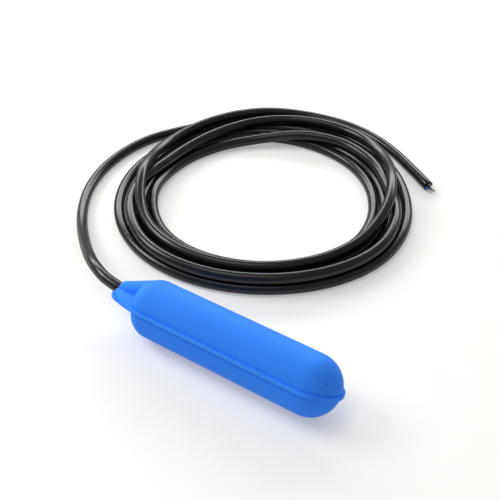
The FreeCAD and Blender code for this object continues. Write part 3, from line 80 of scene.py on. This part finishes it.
# The coil's turns, clockwise from above. COIL holds the distance from the centre
# and the height, in millimetres, for each step of the angle. The angle is 0 to the
# photo camera's right, and COIL_TURN takes it from there to the frame's +X.
COIL_CENTRE = (-0.08485, 0.1699)
COIL_TURN = 34.8        # degrees
COIL_START = 120.0      # degrees
COIL_STEP = 7.5         # degrees
COIL_FIRST = (-0.20480, 0.20963, 0.00430)   # where the cable comes into the coil
MILLIMETRE = 0.001
COIL = [
    (124.1, 4.3), (121.9, 4.3), (120.4, 4.3), (119.1, 4.3), (118.4, 4.3), (118.5, 4.3),
    (118.9, 4.3), (119.3, 4.3), (119.3, 4.3), (119.2, 4.3), (118.8, 4.3), (117.9, 4.3),
    (116.8, 4.3), (115.8, 4.3), (115.1, 4.3), (114.7, 4.3), (114.7, 4.3), (115.4, 4.3),
    (116.6, 4.3), (117.7, 4.3), (118.7, 4.3), (119.7, 4.3), (120.3, 4.3), (120.2, 4.3),
    (119.8, 4.3), (119.3, 4.3), (118.7, 4.3), (118, 4.3), (117.6, 4.3), (117.4, 4.3),
    (117.4, 4.3), (117.5, 4.3), (117.5, 4.3), (117.5, 4.3), (117.3, 4.3), (117, 4.3),
    (116.5, 4.3), (116, 4.3), (115.3, 4.3), (114.7, 4.3), (114.1, 4.3), (113.5, 4.3),
    (113, 4.3), (112.5, 4.3), (111.7, 4.3), (110.9, 4.3), (110.3, 4.3), (110, 4.3),
    (109.9, 4.3), (109.9, 4.3), (109.9, 4.3), (109.9, 4.3), (109.9, 4.3), (110, 4.3),
    (110.3, 4.3), (110.4, 4.3), (110.4, 4.3), (110.2, 4.3), (109.8, 4.3), (109, 4.3),
    (107.9, 4.3), (107, 4.3), (106.4, 4.3), (106, 4.3), (105.9, 4.3), (106.5, 4.3),
    (107.5, 4.3), (108.5, 4.3), (109.7, 4.3), (111, 4.3), (111.6, 4.3), (111.5, 4.3),
    (111.1, 4.3), (110.6, 4.3), (110, 4.3), (109.4, 4.3), (109, 4.3), (108.9, 4.3),
    (108.8, 4.3), (108.8, 4.3), (108.8, 4.3), (108.8, 4.3), (108.7, 4.3), (108.4, 4.3),
    (108.1, 4.3), (107.4, 4.3), (106.3, 4.3), (105, 4.3), (103.9, 4.3), (103.2, 4.3),
    (102.9, 4.3), (102.6, 4.3), (102.2, 4.3), (101.9, 4.3), (101.7, 4.3), (101.5, 4.3),
    (101.3, 4.3), (101.3, 4.3), (101.3, 4.3), (101.5, 4.3), (101.4, 4.3), (100.9, 4.3),
    (100.3, 4.3), (99.7, 4.3), (99.1, 4.3), (98.5, 4.3), (98, 4.3), (97.7, 4.3),
    (97.4, 4.3), (97.2, 4.3), (97.1, 4.3), (97.1, 4.3), (97.2, 4.3), (97.8, 4.3),
    (98.8, 4.3), (99.9, 4.3), (101.1, 4.3), (102.4, 4.3), (103, 4.3), (102.9, 4.3),
    (102.6, 4.3), (102, 4.3), (101.5, 4.3), (100.9, 4.3), (100.6, 4.3), (100.4, 4.3),
    (100.3, 4.3), (100.3, 4.3), (100.3, 4.3), (100.2, 4.3), (100.1, 4.3), (99.9, 4.3),
    (99.6, 4.3), (99, 4.3), (97.9, 4.3), (96.5, 4.3), (95.4, 4.3), (94.8, 4.3),
    (94.3, 4.3), (94, 4.3), (93.6, 4.3), (93.4, 4.3), (93.1, 4.3), (93, 4.3),
    (92.9, 4.3), (92.8, 4.3), (92.9, 4.3), (93, 4.3), (92.9, 4.3), (92.3, 4.3),
    (91.4, 4.3), (90.6, 4.3), (89.9, 4.3), (89.3, 4.3), (89, 4.3), (88.8, 4.3),
    (88.6, 4.3), (88.4, 4.3), (88.4, 4.3), (88.5, 4.3), (88.7, 4.3), (89.2, 4.3),
    (90.2, 4.3), (91.3, 4.3), (92.5, 4.3), (93.8, 4.3), (94.5, 4.3), (94.4, 4.3),
    (94.1, 4.3), (93.5, 4.3), (92.9, 4.3), (92.4, 4.3), (92, 4.3), (91.9, 4.3),
    (91.8, 4.3), (91.8, 4.3), (91.8, 4.3), (91.8, 4.3), (91.6, 4.3), (91.1, 4.3),
    (90.4, 4.3), (89.6, 4.6), (88.9, 5.4), (88.2, 6.3), (87.4, 6.8), (86.4, 6.4),
    (85.4, 5.6), (84.6, 4.9), (84.1, 4.5), (83.9, 4.3), (83.7, 4.3), (83.4, 4.4),
    (83.2, 4.8), (83.1, 5.3), (83.1, 5.9), (83.2, 6.6), (83.8, 7.7), (84.9, 9.4),
    (86.5, 11.3), (88.6, 12.7), (91.3, 13.1), (94.5, 13), (97.1, 12.9), (98.3, 12.8),
    (98.9, 12.7), (99.3, 12.6), (99.5, 12.5), (99.5, 12.5), (100.5, 12.5), (103.2, 12.6),
    (106.8, 12.7), (110.1, 12.8), (112.9, 12.7), (115.4, 12.5), (116.8, 12.4), (117.3, 12.4),
    (117.3, 12.4), (117.1, 12.5), (116.8, 12.6), (116.5, 12.6), (116.2, 12.7), (116.1, 12.7),
    (116.1, 12.7), (116, 12.7), (115.9, 12.7), (115.5, 12.7), (114.9, 12.7), (113.4, 12.7),
    (111.1, 12.6), (108.8, 12.7), (106.7, 12.8), (104.1, 12.9), (101.2, 12.9), (97, 12.8),
    (92.5, 12.7), (89.3, 12.5), (87.8, 12.3), (87.7, 12.3), (88.4, 12.3), (89.7, 12.5),
    (91.7, 12.8), (94.4, 13), (97.9, 13.1), (102, 13.1), (105.9, 13), (109.4, 12.8),
    (112.7, 12.5), (115.1, 12.3), (116.4, 12.3), (116.9, 12.5), (116.3, 13), (114.6, 13.7),
    (111.9, 14.8), (109.3, 16.2), (106.9, 18.1), (104.8, 19.9), (102.9, 21.1), (102.2, 21),
    (102, 20.3), (101.9, 18.9), (101.8, 17.1), (101.9, 15.1), (102, 13.7), (102.2, 13.1),
    (102.4, 12.8), (102.6, 12.7), (102.8, 12.8), (102.9, 12.8), (103, 12.8), (103, 12.8),
    (102.9, 12.7), (102.8, 12.7), (102.6, 12.7), (102.4, 12.7), (102.1, 12.8), (101.5, 13),
    (100.6, 13.4), (99.5, 14.2), (98.3, 16.1), (97.2, 18.4), (96.4, 20.5), (96.6, 21.5),
    (97.2, 20.5), (98.6, 18.3), (100.8, 16.2), (103.4, 14.4), (106.1, 13.1), (108.8, 12.7),
    (111.5, 12.8), (114.2, 13), (116.7, 13.1),
]


def coil_points():
    """The coil's turns as points of the cable's own line."""
    points = [COIL_FIRST]
    for k, (reach, height) in enumerate(COIL):
        angle = math.radians(COIL_START - COIL_STEP * k + COIL_TURN)
        points.append((
            COIL_CENTRE[0] + reach * MILLIMETRE * math.cos(angle),
            COIL_CENTRE[1] + reach * MILLIMETRE * math.sin(angle),
            height * MILLIMETRE,
        ))
    return points


# Camera, fitted to the photo

CAMERA_PLACE = (0.26145, -0.3456, 0.4240)
CAMERA_HEADING = (-0.5707, 0.8211, 0.0)
CAMERA_PITCH = math.radians(37.4)
PHOTO_WIDTH = 500.0     # pixels
FOCAL_LENGTH = 929.0    # pixels
SENSOR = 36.0           # millimetres


def make_camera():
    """The camera that sees the part as the photo does."""
    data = bpy.data.cameras.new("photo_camera")
    data.sensor_width = SENSOR
    data.lens = FOCAL_LENGTH / PHOTO_WIDTH * SENSOR
    data.clip_start = 0.01
    data.clip_end = 20.0
    camera = bpy.data.objects.new("photo_camera", data)
    bpy.context.scene.collection.objects.link(camera)
    camera.location = CAMERA_PLACE
    heading = Vector(CAMERA_HEADING).normalized()
    look = heading * math.cos(CAMERA_PITCH) + Vector((0, 0, -math.sin(CAMERA_PITCH)))
    camera.rotation_mode = "QUATERNION"
    camera.rotation_quaternion = look.to_track_quat("-Z", "Y")
    bpy.context.scene.camera = camera
    return camera


# Cable

def make_line(name, points):
    """One open smooth spline along the route's points, with no thickness."""
    curve = bpy.data.curves.new(name, "CURVE")
    curve.dimensions = "3D"
    curve.resolution_u = 6
    spline = curve.splines.new("NURBS")
    spline.points.add(len(points) - 1)
    for point, place in zip(spline.points, points):
        point.co = (*place, 1.0)
    spline.order_u = 3
    spline.use_endpoint_u = True
    line = bpy.data.objects.new(name, curve)
    bpy.context.scene.collection.objects.link(line)
    return line


def read_line(line, gap):
    """Points along the spline, at least one gap apart."""
    bpy.context.view_layer.update()
    mesh = bpy.data.meshes.new_from_object(line)
    dense = [v.co.copy() for v in mesh.vertices]
    bpy.data.meshes.remove(mesh)
    kept = [dense[0]]
    for place in dense[1:-1]:
        if (place - kept[-1]).length >= gap and (place - dense[-1]).length >= gap:
            kept.append(place)
    kept.append(dense[-1])
    return kept


def frames_along(path):
    """A direction and two square sideways directions at each point, without twist."""
    result = []
    side = None
    for i, place in enumerate(path):
        ahead = path[min(i + 1, len(path) - 1)] - path[max(i - 1, 0)]
        ahead.normalize()
        if side is None:
            side = Vector((0, 0, 1)).cross(ahead)
        side = side - ahead * side.dot(ahead)
        side.normalize()
        result.append((place, ahead, side.copy(), ahead.cross(side)))
    return result


def add_ring(work, centre, side, up, reach):
    """One ring of the tube's points around a centre."""
    ring = []
    for k in range(CABLE_SIDES):
        angle = 2 * math.pi * k / CABLE_SIDES
        ring.append(work.verts.new(
            centre + (side * math.cos(angle) + up * math.sin(angle)) * reach))
    return ring


def make_tube(name, path, radius):
    """A round tube along the path, with its length and its turn as UV."""
    mesh = bpy.data.meshes.new(name)
    work = bmesh.new()
    layer = work.loops.layers.uv.new("along")
    rings = []
    run = 0.0
    lengths = []
    before = None
    stations = frames_along(path)
    for place, ahead, side, up in stations:
        if before is not None:
            run += (place - before).length
        before = place
        lengths.append(run)
        rings.append(add_ring(work, place, side, up, radius))
    for i in range(len(rings) - 1):
        here, there = lengths[i], lengths[i + 1]
        for k in range(CABLE_SIDES):
            m = (k + 1) % CABLE_SIDES
            face = work.faces.new((rings[i][k], rings[i][m], rings[i + 1][m], rings[i + 1][k]))
            face.smooth = True
            spots = ((here, k), (here, k + 1), (there, k + 1), (there, k))
            for loop, (u, v) in zip(face.loops, spots):
                loop[layer].uv = (u, v / CABLE_SIDES)
    # Both ends: a small rounded rim, then a flat face.
    for index, sign in ((0, -1.0), (len(rings) - 1, 1.0)):
        place, ahead, side, up = stations[index]
        outer = rings[index]
        for share in RIM_STEPS:
            turn = share * math.pi / 2
            reach = radius - CABLE_RIM * (1 - math.cos(turn))
            shift = ahead * sign * CABLE_RIM * math.sin(turn)
            ring = add_ring(work, place + shift, side, up, reach)
            for k in range(CABLE_SIDES):
                m = (k + 1) % CABLE_SIDES
                quad = (outer[k], outer[m], ring[m], ring[k])
                face = work.faces.new(quad if sign > 0 else quad[::-1])
                face.smooth = True
                for loop in face.loops:
                    loop[layer].uv = (lengths[index], 0.5)
            outer = ring
        face = work.faces.new(outer if sign > 0 else outer[::-1])
        for loop in face.loops:
            loop[layer].uv = (lengths[index], 0.5)
    bmesh.ops.recalc_face_normals(work, faces=work.faces)
    work.to_mesh(mesh)
    work.free()
    tube = bpy.data.objects.new(name, mesh)
    bpy.context.scene.collection.objects.link(tube)
    return tube


# Materials

MICRON = 0.000001       # metres, for the depth of a relief


class Paint:
    """One material: a principled shader and short calls for the nodes that feed it."""

    def __init__(self, name, roughness=0.5, metallic=0.0, specular=0.5):
        self.material = bpy.data.materials.new(name)
        self.material.use_nodes = True
        self.tree = self.material.node_tree
        self.tree.nodes.clear()
        self.shader = self.tree.nodes.new("ShaderNodeBsdfPrincipled")
        self.shader.inputs["Roughness"].default_value = roughness
        self.shader.inputs["Metallic"].default_value = metallic
        self.shader.inputs["Specular IOR Level"].default_value = specular
        self.output = self.tree.nodes.new("ShaderNodeOutputMaterial")
        self.join(self.shader.outputs["BSDF"], self.output.inputs["Surface"])
        self.height = None

    def join(self, source, target):
        """Links one socket to another."""
        self.tree.links.new(source, target)

    def place(self, scale=(1.0, 1.0, 1.0), shift=(0.0, 0.0, 0.0)):
        """Places on the object, in metres times the scale."""
        spot = self.tree.nodes.new("ShaderNodeTexCoord")
        mapping = self.tree.nodes.new("ShaderNodeMapping")
        mapping.inputs["Location"].default_value = shift
        mapping.inputs["Scale"].default_value = scale
        self.join(spot.outputs["Object"], mapping.inputs["Vector"])
        return mapping.outputs["Vector"]

    def along(self, scale=(1.0, 1.0, 1.0)):
        """Length and turn on a tube."""
        spot = self.tree.nodes.new("ShaderNodeUVMap")
        spot.uv_map = "along"
        mapping = self.tree.nodes.new("ShaderNodeMapping")
        mapping.inputs["Scale"].default_value = scale
        self.join(spot.outputs["UV"], mapping.inputs["Vector"])
        return mapping.outputs["Vector"]

    def noise(self, where, scale, detail=3.0, roughness=0.5):
        """Soft clouds, from 0 to 1."""
        node = self.tree.nodes.new("ShaderNodeTexNoise")
        node.inputs["Scale"].default_value = scale
        node.inputs["Detail"].default_value = detail
        node.inputs["Roughness"].default_value = roughness
        self.join(where, node.inputs["Vector"])
        return node.outputs["Fac"]

    def cells(self, where, scale):
        """The distance to the nearest of many scattered points."""
        node = self.tree.nodes.new("ShaderNodeTexVoronoi")
        node.inputs["Scale"].default_value = scale
        self.join(where, node.inputs["Vector"])
        return node.outputs["Distance"]

    def remap(self, value, low, high, to_low=0.0, to_high=1.0):
        """The value's range from low to high spread over another range."""
        node = self.tree.nodes.new("ShaderNodeMapRange")
        node.inputs["From Min"].default_value = low
        node.inputs["From Max"].default_value = high
        node.inputs["To Min"].default_value = to_low
        node.inputs["To Max"].default_value = to_high
        self.join(value, node.inputs["Value"])
        return node.outputs["Result"]

    def math(self, kind, a, b):
        """A sum, product or the like of two numbers or sockets."""
        node = self.tree.nodes.new("ShaderNodeMath")
        node.operation = kind
        for slot, value in zip(node.inputs, (a, b)):
            if isinstance(value, (int, float)):
                slot.default_value = value
            else:
                self.join(value, slot)
        return node.outputs["Value"]

    def split(self, where):
        """The three parts of a vector."""
        node = self.tree.nodes.new("ShaderNodeSeparateXYZ")
        self.join(where, node.inputs["Vector"])
        return node.outputs["X"], node.outputs["Y"], node.outputs["Z"]

    def blend(self, factor, first, second):
        """Two colours, or a colour and a socket, mixed by the factor."""
        node = self.tree.nodes.new("ShaderNodeMix")
        node.data_type = "RGBA"
        self.join(factor, node.inputs["Factor"])
        for slot, value in ((node.inputs["A"], first), (node.inputs["B"], second)):
            target = [s for s in node.inputs if s.name == slot.name and s.type == "RGBA"][0]
            if isinstance(value, tuple):
                target.default_value = (*value, 1.0)
            else:
                self.join(value, target)
        return [s for s in node.outputs if s.type == "RGBA"][0]

    def colour(self, value):
        """The base colour, from a colour or a socket."""
        if isinstance(value, tuple):
            self.shader.inputs["Base Color"].default_value = (*value, 1.0)
        else:
            self.join(value, self.shader.inputs["Base Color"])

    def rough(self, value):
        """The roughness, from a socket."""
        self.join(value, self.shader.inputs["Roughness"])

    def bump(self, value, depth):
        """Adds relief of that depth in metres."""
        node = self.tree.nodes.new("ShaderNodeBump")
        node.inputs["Strength"].default_value = 1.0
        node.inputs["Distance"].default_value = depth
        self.join(value, node.inputs["Height"])
        if self.height is not None:
            self.join(self.height, node.inputs["Normal"])
        self.height = node.outputs["Normal"]
        self.join(self.height, self.shader.inputs["Normal"])


def float_blue():
    """Moulded polypropylene: a fine eroded grain, faint clouds, and a painted highlight along
    the rim.
    """
    p = Paint("float_blue", roughness=0.45, specular=0.04)
    where = p.place()
    clouds = p.noise(where, 28.0, detail=4.0, roughness=0.55)
    body = p.blend(p.remap(clouds, 0.3, 0.7), (0.036, 0.240, 0.96), (0.040, 0.252, 0.99))
    # How far a point lies out sideways, along the seam: the rim is what lies furthest.
    _, y, z = p.split(p.place(shift=(0.0, 0.0, -BODY)))
    side = p.math("ADD", p.math("MULTIPLY", y, math.cos(ROLL)),
                  p.math("MULTIPLY", z, math.sin(ROLL)))
    out = p.math("ABSOLUTE", side, 0.0)
    # Painted highlight: the rim along the seam gets a paler blue that stands in for the light
    # the bead catches, broken up by fine noise.
    rim_highlight = p.remap(out, BODY + 0.0002, BODY + 0.0012)
    highlight_breakup = p.remap(p.noise(p.place(scale=(1.0, 6.0, 6.0)), 260.0, detail=2.0), 0.45, 0.7)
    rim = p.math("MULTIPLY", rim_highlight, p.remap(highlight_breakup, 0.0, 1.0, 0.5, 1.0))
    p.colour(p.blend(rim, body, (0.055, 0.31, 0.99)))
    rubs = p.noise(p.place(scale=(0.25, 1.0, 1.0)), 420.0, detail=3.0, roughness=0.6)
    p.rough(p.remap(rubs, 0.3, 0.75, 0.40, 0.52))
    grain = p.cells(where, 2300.0)
    p.bump(grain, 35 * MICRON)
    waves = p.noise(where, 60.0, detail=2.0)
    p.bump(waves, 100 * MICRON)
    return p.material


def cable_rubber(name="cable_rubber", tube=False):
    """Black rubber sheath with lengthwise drawing marks, dull patches and dust."""
    p = Paint(name, roughness=0.24, specular=0.36)
    # The dusty skin shines less where it turns away.
    edge = p.tree.nodes.new("ShaderNodeLayerWeight")
    edge.inputs["Blend"].default_value = 0.5
    p.join(p.remap(edge.outputs["Facing"], 0.5, 0.8, 0.36, 0.04),
           p.shader.inputs["Specular IOR Level"])
    where = p.place()
    patches = p.noise(where, 55.0, detail=4.0, roughness=0.6)
    if tube:
        streaks = p.noise(p.along(scale=(3.0, 30.0, 1.0)), 3.0, detail=3.0, roughness=0.55)
        ripples = p.noise(p.along(scale=(90.0, 6.0, 1.0)), 1.6, detail=2.0)
    else:
        streaks = p.noise(p.place(scale=(0.1, 1.0, 1.0)), 900.0, detail=3.0)
        ripples = p.noise(where, 240.0, detail=2.0)
    tone = p.blend(p.remap(streaks, 0.35, 0.7),
                   (0.0040, 0.0040, 0.0043), (0.009, 0.009, 0.0095))
    p.colour(p.blend(p.remap(patches, 0.5, 0.85), tone, (0.014, 0.014, 0.014)))
    p.rough(p.remap(patches, 0.3, 0.75, 0.2, 0.28))
    p.bump(streaks, 20 * MICRON)
    p.bump(ripples, 12 * MICRON)
    grain = p.noise(where, 3200.0, detail=2.0)
    p.bump(grain, 10 * MICRON)
    return p.material


def soft_rubber(name, colour, dust):
    """Dull rubber with patches of dust and a fine grain."""
    p = Paint(name, roughness=0.7, specular=0.35)
    where = p.place()
    patches = p.noise(where, 180.0, detail=4.0, roughness=0.6)
    p.colour(p.blend(p.remap(patches, 0.45, 0.8), colour, dust))
    p.rough(p.remap(patches, 0.3, 0.7, 0.6, 0.8))
    p.bump(p.noise(where, 2600.0, detail=2.0), 30 * MICRON)
    return p.material


def moulded(name, colour, shade, roughness, depth=30 * MICRON):
    """Moulded plastic: two close tones, flow clouds and an eroded grain."""
    p = Paint(name, roughness=roughness, specular=0.45)
    where = p.place()
    clouds = p.noise(p.place(scale=(0.6, 1.0, 1.0)), 90.0, detail=4.0, roughness=0.6)
    p.colour(p.blend(p.remap(clouds, 0.3, 0.7), colour, shade))
    p.rough(p.remap(clouds, 0.3, 0.7, roughness - 0.06, roughness + 0.08))
    p.bump(p.cells(where, 2400.0), depth)
    p.bump(p.noise(where, 130.0, detail=2.0), 80 * MICRON)
    return p.material


def metal(name, colour, shade, roughness, brush):
    """Metal with fine drawing marks and slightly darker handling patches."""
    p = Paint(name, roughness=roughness, metallic=1.0)
    marks = p.noise(p.place(scale=brush), 1400.0, detail=3.0, roughness=0.6)
    patches = p.noise(p.place(), 220.0, detail=3.0)
    p.colour(p.blend(p.remap(patches, 0.35, 0.75), colour, shade))
    p.rough(p.remap(marks, 0.3, 0.7, roughness - 0.06, roughness + 0.1))
    p.bump(marks, 10 * MICRON)
    return p.material


def polished_ball():
    """Bearing steel: bright, with hair-thin rolling marks."""
    p = Paint("ball_steel", roughness=0.08, metallic=1.0)
    marks = p.noise(p.place(scale=(1.0, 9.0, 1.0)), 900.0, detail=4.0, roughness=0.65)
    p.colour(p.blend(p.remap(marks, 0.4, 0.8), (0.80, 0.80, 0.82), (0.72, 0.72, 0.74)))
    p.rough(p.remap(marks, 0.35, 0.8, 0.05, 0.16))
    p.bump(marks, 2 * MICRON)
    return p.material


def make_materials():
    """The material of every slot in the record."""
    return {
        "float_blue": float_blue(),
        "cable_rubber": cable_rubber(),
        "bush_rubber": soft_rubber("bush_rubber", (0.045, 0.045, 0.045), (0.075, 0.075, 0.072)),
        "seal_rubber": soft_rubber("seal_rubber", (0.035, 0.035, 0.036), (0.055, 0.055, 0.055)),
        "case_plastic": moulded("case_plastic", (0.82, 0.82, 0.79), (0.76, 0.76, 0.73), 0.48),
        "cap_plastic": moulded("cap_plastic", (0.11, 0.11, 0.12), (0.14, 0.14, 0.145), 0.46),
        "carrier_plastic": moulded(
            "carrier_plastic", (0.74, 0.71, 0.62), (0.68, 0.65, 0.56), 0.38),
        "switch_plastic": moulded(
            "switch_plastic", (0.095, 0.095, 0.10), (0.12, 0.12, 0.12), 0.33, depth=15 * MICRON),
        "cover_plastic": moulded(
            "cover_plastic", (0.33, 0.11, 0.07), (0.27, 0.085, 0.055), 0.32, depth=15 * MICRON),
        "plunger_plastic": moulded(
            "plunger_plastic", (0.75, 0.09, 0.07), (0.66, 0.075, 0.06), 0.22, depth=10 * MICRON),
        "screw_steel": metal(
            "screw_steel", (0.68, 0.68, 0.70), (0.56, 0.56, 0.57), 0.28, brush=(1, 1, 5)),
        "ball_steel": polished_ball(),
        "spring_steel": metal(
            "spring_steel", (0.71, 0.69, 0.65), (0.60, 0.58, 0.54), 0.26, brush=(6, 1, 1)),
        "contact_brass": metal(
            "contact_brass", (0.80, 0.59, 0.27), (0.63, 0.44, 0.19), 0.28, brush=(1, 6, 1)),
        "sleeve_plastic": moulded(
            "sleeve_plastic", (0.84, 0.82, 0.77), (0.78, 0.76, 0.70), 0.36, depth=10 * MICRON),
        "core_brown": moulded("core_brown", (0.22, 0.09, 0.04), (0.17, 0.068, 0.03), 0.34),
        "core_blue": moulded("core_blue", (0.03, 0.13, 0.52), (0.022, 0.10, 0.44), 0.34),
        "core_black": moulded("core_black", (0.028, 0.028, 0.028), (0.04, 0.04, 0.04), 0.34),
        "tinned_copper": metal(
            "tinned_copper", (0.42, 0.41, 0.40), (0.30, 0.29, 0.28), 0.34, brush=(1, 1, 8)),
    }


# Floor, backdrop and light

FLOOR_REACH = 6.0       # from the origin to the floor's sides
FLOOR_WHITE = 0.34      # share of plain white that the floor shows beside its shading
ROOM_LIGHT = 0.36       # strength of the even white surrounding
LAMPS = (               # name, place, target, size, watts
    ("key", (-1.05, -0.20, 0.85), (0.0, 0.05, 0.0), (0.6, 0.5), 8.5),
    ("strip", (-0.78, 1.145, 0.72), (-0.07, 0.12, 0.0), (2.6, 0.32), 20.5),
    ("overhead", (-0.26, -0.25, 1.42), (-0.05, 0.06, 0.0), (1.0, 0.8), 4.8),
)


def make_floor():
    """A pale floor that keeps the shadows and is nearly white to the camera."""
    mesh = bpy.data.meshes.new("floor")
    work = bmesh.new()
    corners = [work.verts.new((x * FLOOR_REACH, y * FLOOR_REACH, 0.0))
               for x, y in ((-1, -1), (1, -1), (1, 1), (-1, 1))]
    work.faces.new(corners)
    work.to_mesh(mesh)
    work.free()
    floor = bpy.data.objects.new("floor", mesh)
    bpy.context.scene.collection.objects.link(floor)
    p = Paint("floor_white", roughness=0.85, specular=0.1)
    fine = p.noise(p.place(), 35.0, detail=3.0)
    p.colour(p.blend(p.remap(fine, 0.3, 0.7), (0.97, 0.955, 0.915), (0.985, 0.972, 0.935)))
    white = p.tree.nodes.new("ShaderNodeEmission")
    white.inputs["Color"].default_value = (1.0, 1.0, 1.0, 1.0)
    white.inputs["Strength"].default_value = 1.0
    # The white goes to the camera, to reflections and through glass, not to the object.
    seen = p.tree.nodes.new("ShaderNodeLightPath")
    mix = p.tree.nodes.new("ShaderNodeMixShader")
    ray = p.math("MAXIMUM", seen.outputs["Is Camera Ray"], p.math(
        "MAXIMUM", seen.outputs["Is Glossy Ray"], seen.outputs["Is Transmission Ray"]))
    p.join(p.math("MULTIPLY", ray, FLOOR_WHITE), mix.inputs["Fac"])
    p.join(p.shader.outputs["BSDF"], mix.inputs[1])
    p.join(white.outputs["Emission"], mix.inputs[2])
    p.join(mix.outputs["Shader"], p.output.inputs["Surface"])
    floor.data.materials.append(p.material)


def make_room():
    """An even white surrounding that fills the shadows."""
    world = bpy.data.worlds.new("studio")
    bpy.context.scene.world = world
    world.use_nodes = True
    tree = world.node_tree
    tree.nodes.clear()
    output = tree.nodes.new("ShaderNodeOutputWorld")
    room = tree.nodes.new("ShaderNodeBackground")
    room.inputs["Color"].default_value = (1.0, 1.0, 1.0, 1.0)
    room.inputs["Strength"].default_value = ROOM_LIGHT
    tree.links.new(room.outputs["Background"], output.inputs["Surface"])


def make_lamps():
    """Three soft lamps: from the left, from behind and from above."""
    for name, place, target, size, power in LAMPS:
        data = bpy.data.lights.new(name, "AREA")
        data.shape = "RECTANGLE"
        data.size = size[0]
        data.size_y = size[1]
        data.energy = power
        light = bpy.data.objects.new(name, data)
        light.location = place
        aim = Vector(target) - Vector(place)
        light.rotation_mode = "QUATERNION"
        light.rotation_quaternion = aim.to_track_quat("-Z", "Y")
        bpy.context.scene.collection.objects.link(light)


def paint_nodes():
    """Gives each CAD node the material of its slot."""
    materials = make_materials()
    slots = {s["node"]: s["material_slot"] for s in frame["record"]["subparts"]}
    for name, node in frame["nodes"].items():
        material = materials[slots[name]]
        if not node.data.materials:
            node.data.materials.append(material)
        for index in range(len(node.material_slots)):
            node.material_slots[index].material = material


def make_cable():
    """The free cable as one cord, in place of the CAD's lead, ring and tail."""
    line = make_line("cable_route", [MOUTH] + LEAD + coil_points() + TAIL)
    path = read_line(line, CABLE_GAP)
    bpy.data.objects.remove(line)
    cable = make_tube("free_cable", path, CABLE)
    cable.data.materials.append(cable_rubber("cable_sheath_rubber", tube=True))
    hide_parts("cable_lead", "cable_coil", "cable_tail")
    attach(cable, "float")


def main():
    make_camera()
    paint_nodes()
    make_cable()
    make_floor()
    make_room()
    make_lamps()
    bpy.context.scene.view_settings.view_transform = "Standard"


main()
